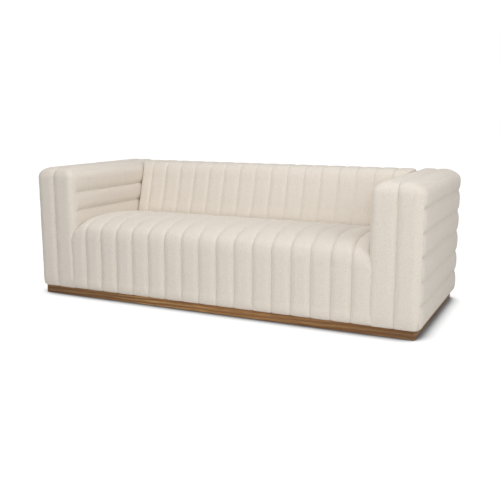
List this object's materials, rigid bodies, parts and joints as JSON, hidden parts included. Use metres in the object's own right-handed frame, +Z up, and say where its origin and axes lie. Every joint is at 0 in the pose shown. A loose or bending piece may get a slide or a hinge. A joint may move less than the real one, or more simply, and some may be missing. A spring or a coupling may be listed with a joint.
{
  "type": "tuxedo sofa",
  "caption": "Low sofa with arms as high as its back, a tight seat and back quilted in upright channels that run on over the front, and a recessed timber plinth.",
  "frame": {"origin": "middle of the footprint, on the floor", "axes": "+X along the sofa to the right as seen from the front, the front faces -Y, +Z up"},
  "size_m": [2.316, 0.98, 0.762],
  "materials": {
    "boucle": "ivory boucle, matt, with small loops",
    "plinth_timber": "golden brown stained oak, satin",
    "frame_timber": "sawn pine, bare",
    "plywood": "birch plywood, bare",
    "fibreboard": "hardboard, bare",
    "foam": "open-cell foam, matt",
    "felt_pad": "pressed felt",
    "felt_glide": "dense felt",
    "dust_cloth": "black spunbond cloth",
    "webbing": "black elastic webbing",
    "spring_steel": "bare spring wire, oiled",
    "zinc_steel": "zinc plated"
  },
  "bodies": {
    "root": {"plinth_front_rail": "plinth_timber", "plinth_rear_rail": "plinth_timber", "plinth_left_rail": "plinth_timber", "plinth_right_rail": "plinth_timber", "plinth_corner_blocks": "frame_timber", "plinth_bearers": "frame_timber", "plinth_screws": "zinc_steel", "felt_glides": "felt_glide", "dust_cover": "dust_cloth", "seat_front_rail": "plywood", "seat_rear_rail": "plywood", "seat_left_rail": "plywood", "seat_right_rail": "plywood", "seat_stretchers": "frame_timber", "seat_corner_blocks": "frame_timber", "seat_springs": "spring_steel", "spring_clips": "spring_steel", "spring_tie_wires": "spring_steel", "deck_pad": "felt_pad", "seat_foam": "foam", "seat_front_pad": "foam", "seat_cover": "boucle", "back_left_rib": "plywood", "back_right_rib": "plywood", "back_middle_ribs": "plywood", "back_top_rail": "frame_timber", "back_upper_strap_rail": "frame_timber", "back_lower_strap_rail": "frame_timber", "back_straps_set": "webbing", "back_board": "fibreboard", "back_foam": "foam", "back_top_pad": "foam", "back_outer_pad": "foam", "back_cover": "boucle", "left_arm_front_board": "plywood", "left_arm_rear_board": "plywood", "left_arm_inner_panel": "plywood", "left_arm_outer_panel": "plywood", "left_arm_top_board": "frame_timber", "left_arm_bottom_board": "frame_timber", "left_arm_padding": "foam", "left_arm_cover": "boucle", "right_arm_front_board": "plywood", "right_arm_rear_board": "plywood", "right_arm_inner_panel": "plywood", "right_arm_outer_panel": "plywood", "right_arm_top_board": "frame_timber", "right_arm_bottom_board": "frame_timber", "right_arm_padding": "foam", "right_arm_cover": "boucle", "arm_bolts": "zinc_steel", "arm_bolt_washers": "zinc_steel", "arm_barrel_nuts": "zinc_steel"}
  },
  "joints": []
}
